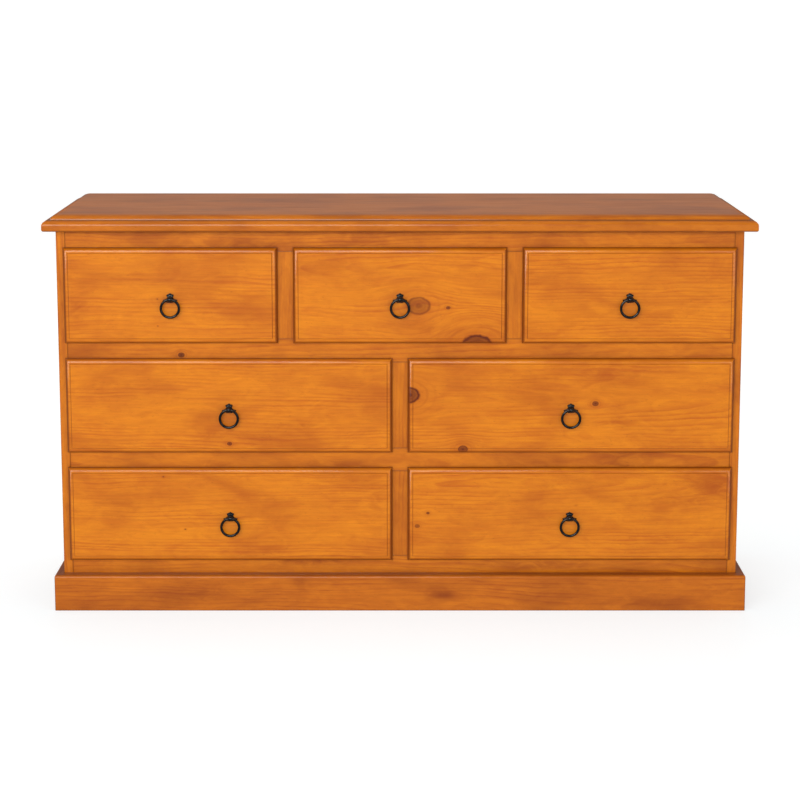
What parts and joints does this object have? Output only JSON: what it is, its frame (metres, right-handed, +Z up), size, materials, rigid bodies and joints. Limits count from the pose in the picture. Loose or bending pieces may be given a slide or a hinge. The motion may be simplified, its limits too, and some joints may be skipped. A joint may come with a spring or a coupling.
{
  "type": "dresser with drawers",
  "caption": "Low wide chest with rows of lipped, moulded drawers on wooden runners, iron ring pulls, a moulded overhanging top and a plinth base.",
  "frame": {"origin": "floor level, at the middle of the overall width and depth, with the pulls counted in the depth", "axes": "+Z up, +X to the right when facing the drawers, +Y towards the back, so the drawers open towards -Y"},
  "size_m": [1.5, 0.4536, 0.855],
  "materials": {
    "pine_lacquered": "satin honey-orange lacquer over knotty pine",
    "pine_raw": "unfinished planed pine",
    "plywood": "thin birch-faced plywood, unfinished",
    "black_iron": "black antique iron, burnished on the high spots",
    "zinc_steel": "zinc-plated screws, nuts and washers, in the visual model only"
  },
  "bodies": {
    "carcass": {"top_board": "pine_lacquered", "side_panel_left": "pine_lacquered", "side_panel_right": "pine_lacquered", "back_panel": "plywood", "rail_top": "pine_lacquered", "rail_upper": "pine_lacquered", "rail_lower": "pine_lacquered", "rail_bottom": "pine_lacquered", "plinth_front": "pine_lacquered", "plinth_side_left": "pine_lacquered", "plinth_side_right": "pine_lacquered", "divider_row1_1": "pine_lacquered", "runner_centre_row1_1": "pine_raw", "divider_row1_2": "pine_lacquered", "runner_centre_row1_2": "pine_raw", "runner_left_row1": "pine_raw", "runner_right_row1": "pine_raw", "divider_row2_1": "pine_lacquered", "runner_centre_row2_1": "pine_raw", "runner_left_row2": "pine_raw", "runner_right_row2": "pine_raw", "divider_row3_1": "pine_lacquered", "runner_centre_row3_1": "pine_raw", "runner_left_row3": "pine_raw", "runner_right_row3": "pine_raw"},
    "drawer1": {"drawer1_front": "pine_lacquered", "drawer1_box": "pine_raw", "drawer1_bottom": "plywood", "drawer1_pull_plate": "black_iron"},
    "ring1": {"drawer1_pull_ring": "black_iron"},
    "drawer2": {"drawer2_front": "pine_lacquered", "drawer2_box": "pine_raw", "drawer2_bottom": "plywood", "drawer2_pull_plate": "black_iron"},
    "ring2": {"drawer2_pull_ring": "black_iron"},
    "drawer3": {"drawer3_front": "pine_lacquered", "drawer3_box": "pine_raw", "drawer3_bottom": "plywood", "drawer3_pull_plate": "black_iron"},
    "ring3": {"drawer3_pull_ring": "black_iron"},
    "drawer4": {"drawer4_front": "pine_lacquered", "drawer4_box": "pine_raw", "drawer4_bottom": "plywood", "drawer4_pull_plate": "black_iron"},
    "ring4": {"drawer4_pull_ring": "black_iron"},
    "drawer5": {"drawer5_front": "pine_lacquered", "drawer5_box": "pine_raw", "drawer5_bottom": "plywood", "drawer5_pull_plate": "black_iron"},
    "ring5": {"drawer5_pull_ring": "black_iron"},
    "drawer6": {"drawer6_front": "pine_lacquered", "drawer6_box": "pine_raw", "drawer6_bottom": "plywood", "drawer6_pull_plate": "black_iron"},
    "ring6": {"drawer6_pull_ring": "black_iron"},
    "drawer7": {"drawer7_front": "pine_lacquered", "drawer7_box": "pine_raw", "drawer7_bottom": "plywood", "drawer7_pull_plate": "black_iron"},
    "ring7": {"drawer7_pull_ring": "black_iron"}
  },
  "joints": [
    {"name": "drawer1_slide", "type": "slide", "parent": "carcass", "child": "drawer1", "axis": [0, -1, 0], "range_m": [0, 0.28]},
    {"name": "ring1_swing", "type": "hinge", "parent": "drawer1", "child": "ring1", "pos_m": [-0.484, -0.22125, 0.6775], "axis": [-1, 0, 0], "range_deg": [-8, 188]},
    {"name": "drawer2_slide", "type": "slide", "parent": "carcass", "child": "drawer2", "axis": [0, -1, 0], "range_m": [0, 0.28]},
    {"name": "ring2_swing", "type": "hinge", "parent": "drawer2", "child": "ring2", "pos_m": [0, -0.22125, 0.6775], "axis": [-1, 0, 0], "range_deg": [-8, 188]},
    {"name": "drawer3_slide", "type": "slide", "parent": "carcass", "child": "drawer3", "axis": [0, -1, 0], "range_m": [0, 0.28]},
    {"name": "ring3_swing", "type": "hinge", "parent": "drawer3", "child": "ring3", "pos_m": [0.484, -0.22125, 0.6775], "axis": [-1, 0, 0], "range_deg": [-8, 188]},
    {"name": "drawer4_slide", "type": "slide", "parent": "carcass", "child": "drawer4", "axis": [0, -1, 0], "range_m": [0, 0.28]},
    {"name": "ring4_swing", "type": "hinge", "parent": "drawer4", "child": "ring4", "pos_m": [-0.363, -0.22125, 0.4405], "axis": [-1, 0, 0], "range_deg": [-8, 188]},
    {"name": "drawer5_slide", "type": "slide", "parent": "carcass", "child": "drawer5", "axis": [0, -1, 0], "range_m": [0, 0.28]},
    {"name": "ring5_swing", "type": "hinge", "parent": "drawer5", "child": "ring5", "pos_m": [0.363, -0.22125, 0.4405], "axis": [-1, 0, 0], "range_deg": [-8, 188]},
    {"name": "drawer6_slide", "type": "slide", "parent": "carcass", "child": "drawer6", "axis": [0, -1, 0], "range_m": [0, 0.28]},
    {"name": "ring6_swing", "type": "hinge", "parent": "drawer6", "child": "ring6", "pos_m": [-0.363, -0.22125, 0.2035], "axis": [-1, 0, 0], "range_deg": [-8, 188]},
    {"name": "drawer7_slide", "type": "slide", "parent": "carcass", "child": "drawer7", "axis": [0, -1, 0], "range_m": [0, 0.28]},
    {"name": "ring7_swing", "type": "hinge", "parent": "drawer7", "child": "ring7", "pos_m": [0.363, -0.22125, 0.2035], "axis": [-1, 0, 0], "range_deg": [-8, 188]}
  ]
}
